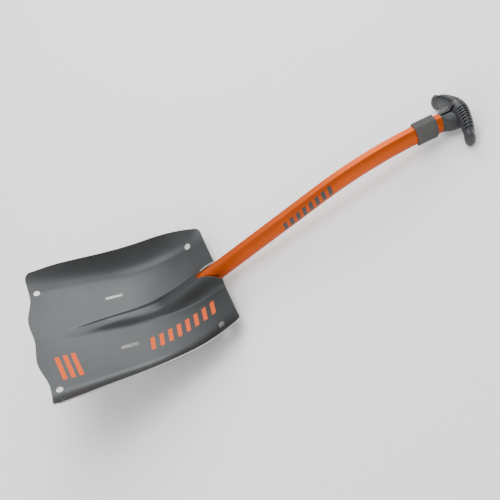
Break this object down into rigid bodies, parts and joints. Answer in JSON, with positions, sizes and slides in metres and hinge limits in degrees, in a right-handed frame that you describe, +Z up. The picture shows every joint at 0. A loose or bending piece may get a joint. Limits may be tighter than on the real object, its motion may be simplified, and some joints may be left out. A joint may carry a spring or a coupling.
{
  "type": "avalanche shovel",
  "caption": "Short-handled snow shovel with a pressed metal scoop, a curved removable shaft locked by a spring button, a sliding rubber hand stop and a T-grip.",
  "frame": {"origin": "on the floor under the middle of the bounding box, with the shovel lying on its back on the socket and the grip", "axes": "+X runs from the blade to the grip, +Y across the blade, +Z up out of the scoop"},
  "size_m": [0.6742, 0.2444, 0.1204],
  "materials": {
    "blade_aluminium": "satin anodised, dark grey",
    "rivet_aluminium": "satin anodised, dark grey",
    "shaft_aluminium": "satin anodised, burnt orange",
    "plug_plastic": "moulded, black",
    "button_steel": "stainless, turned and tumbled",
    "pin_steel": "stainless",
    "stop_rubber": "matte, dark grey",
    "grip_plastic": "moulded, dark grey"
  },
  "bodies": {
    "shovel": {"blade": "blade_aluminium", "socket_plate": "blade_aluminium", "socket_rivets": "rivet_aluminium", "shaft": "shaft_aluminium", "shaft_foot_plug": "plug_plastic", "blade_lock_spring": "button_steel", "t_grip": "grip_plastic", "grip_pin": "pin_steel"},
    "blade_lock": {"blade_lock_button": "button_steel"},
    "hand_stop": {"hand_stop": "stop_rubber"}
  },
  "joints": [
    {"name": "blade_lock_press", "type": "slide", "parent": "shovel", "child": "blade_lock", "axis": [-0.0752, 0, 0.9972], "range_m": [0, 0.0048], "stiffness_N_per_m": 1500, "springref_m": -0.001, "deforming": ["blade_lock_spring"]},
    {"name": "hand_stop_slide", "type": "hinge", "parent": "shovel", "child": "hand_stop", "pos_m": [0.14898, 0, -0.53006], "axis": [0, -1, 0], "range_deg": [-0.7, 14]}
  ]
}
